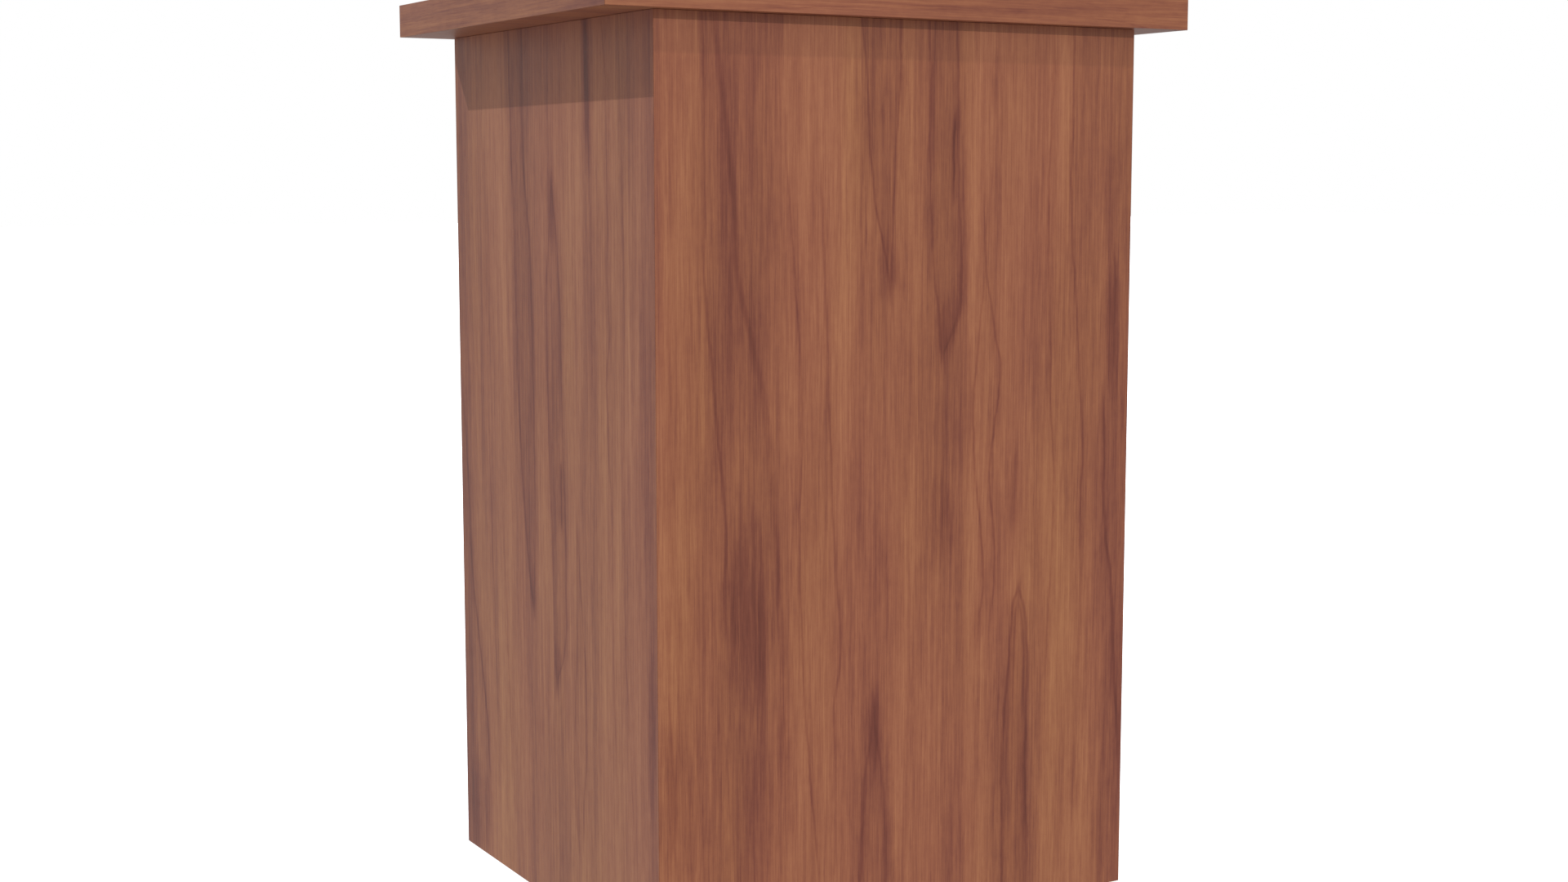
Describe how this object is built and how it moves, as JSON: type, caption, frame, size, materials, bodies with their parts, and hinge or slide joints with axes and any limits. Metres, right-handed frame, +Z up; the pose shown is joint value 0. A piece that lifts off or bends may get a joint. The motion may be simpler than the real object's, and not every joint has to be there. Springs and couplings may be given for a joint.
{
  "type": "pulpit",
  "caption": "Free-standing box pulpit in reddish-brown wood veneer: plain mitred front and sides, thick overhanging flat top, open shelved back on recessed levelling feet.",
  "frame": {"origin": "on the floor, under the middle of the top (bottom centre of the bounding box)", "axes": "+Z up, -Y towards the congregation (the closed front), +Y towards the speaker (the open back), +X to the right as the congregation sees it"},
  "size_m": [0.78, 0.608, 1.1],
  "materials": {
    "veneer": "reddish-brown figured veneer, semi-gloss lacquer",
    "banding": "the same veneer as edge banding and lipping, grain along the edge",
    "batten": "planed bare softwood",
    "plywood": "bare birch plywood",
    "zinc": "bright zinc plate, slightly cloudy",
    "steel": "nickel-plated steel",
    "plastic": "moulded black plastic, finely textured"
  },
  "bodies": {
    "carcass": {"top_board": "veneer", "front_panel": "veneer", "left_side_panel": "veneer", "right_side_panel": "veneer", "base_panel": "veneer", "book_shelf": "veneer", "plinth_rail": "veneer", "rear_top_rail": "veneer", "top_lipping_front": "banding", "top_lipping_rear": "banding", "top_lipping_left": "banding", "top_lipping_right": "banding", "left_edge_band": "banding", "right_edge_band": "banding", "base_edge_band": "banding", "book_shelf_edge_band": "banding", "front_cleat": "batten", "left_cleat": "batten", "right_cleat": "batten", "left_corner_spline": "plywood", "right_corner_spline": "plywood", "shelf_pin_front_left": "steel", "shelf_pin_front_right": "steel", "shelf_pin_rear_left": "steel", "shelf_pin_rear_right": "steel", "top_screw_front_middle": "zinc", "top_screw_left_front": "zinc", "top_screw_left_rear": "zinc", "top_screw_right_front": "zinc", "top_screw_right_rear": "zinc", "base_cam_front_left": "zinc", "base_cam_bolt_front_left": "steel", "base_cam_front_right": "zinc", "base_cam_bolt_front_right": "steel", "base_cam_rear_left": "zinc", "base_cam_bolt_rear_left": "steel", "base_cam_rear_right": "zinc", "base_cam_bolt_rear_right": "steel", "book_shelf_cam_front_left": "zinc", "book_shelf_cam_bolt_front_left": "steel", "book_shelf_cam_front_right": "zinc", "book_shelf_cam_bolt_front_right": "steel", "book_shelf_cam_rear_left": "zinc", "book_shelf_cam_bolt_rear_left": "steel", "book_shelf_cam_rear_right": "zinc", "book_shelf_cam_bolt_rear_right": "steel", "leveller_nut_front_left": "zinc", "leveller_nut_front_right": "zinc", "leveller_nut_rear_left": "zinc", "leveller_nut_rear_right": "zinc"},
    "loose_shelf": {"loose_shelf": "veneer", "loose_shelf_edge_band": "banding"},
    "leveller_foot_front_left": {"leveller_pad_front_left": "plastic"},
    "leveller_screw_front_left": {"leveller_stem_front_left": "steel"},
    "leveller_foot_front_right": {"leveller_pad_front_right": "plastic"},
    "leveller_screw_front_right": {"leveller_stem_front_right": "steel"},
    "leveller_foot_rear_left": {"leveller_pad_rear_left": "plastic"},
    "leveller_screw_rear_left": {"leveller_stem_rear_left": "steel"},
    "leveller_foot_rear_right": {"leveller_pad_rear_right": "plastic"},
    "leveller_screw_rear_right": {"leveller_stem_rear_right": "steel"}
  },
  "joints": [
    {"name": "loose_shelf_slide", "type": "slide", "parent": "carcass", "child": "loose_shelf", "axis": [0, 1, 0], "range_m": [0, 0.3]},
    {"name": "leveller_travel_front_left", "type": "slide", "parent": "carcass", "child": "leveller_foot_front_left", "axis": [0, 0, -1], "range_m": [-0.001, 0.01]},
    {"name": "leveller_turn_front_left", "type": "hinge", "parent": "leveller_foot_front_left", "child": "leveller_screw_front_left", "pos_m": [-0.27, -0.23, 0.04], "axis": [0, 0, -1], "continuous": true},
    {"name": "leveller_travel_front_right", "type": "slide", "parent": "carcass", "child": "leveller_foot_front_right", "axis": [0, 0, -1], "range_m": [-0.001, 0.01]},
    {"name": "leveller_turn_front_right", "type": "hinge", "parent": "leveller_foot_front_right", "child": "leveller_screw_front_right", "pos_m": [0.27, -0.23, 0.04], "axis": [0, 0, -1], "continuous": true},
    {"name": "leveller_travel_rear_left", "type": "slide", "parent": "carcass", "child": "leveller_foot_rear_left", "axis": [0, 0, -1], "range_m": [-0.001, 0.01]},
    {"name": "leveller_turn_rear_left", "type": "hinge", "parent": "leveller_foot_rear_left", "child": "leveller_screw_rear_left", "pos_m": [-0.27, 0.2, 0.04], "axis": [0, 0, -1], "continuous": true},
    {"name": "leveller_travel_rear_right", "type": "slide", "parent": "carcass", "child": "leveller_foot_rear_right", "axis": [0, 0, -1], "range_m": [-0.001, 0.01]},
    {"name": "leveller_turn_rear_right", "type": "hinge", "parent": "leveller_foot_rear_right", "child": "leveller_screw_rear_right", "pos_m": [0.27, 0.2, 0.04], "axis": [0, 0, -1], "continuous": true}
  ],
  "couplings": [
    {"joint": "leveller_turn_front_left", "follows": "leveller_travel_front_left", "rad_per_m": 4188.8},
    {"joint": "leveller_turn_front_right", "follows": "leveller_travel_front_right", "rad_per_m": 4188.8},
    {"joint": "leveller_turn_rear_left", "follows": "leveller_travel_rear_left", "rad_per_m": 4188.8},
    {"joint": "leveller_turn_rear_right", "follows": "leveller_travel_rear_right", "rad_per_m": 4188.8}
  ]
}
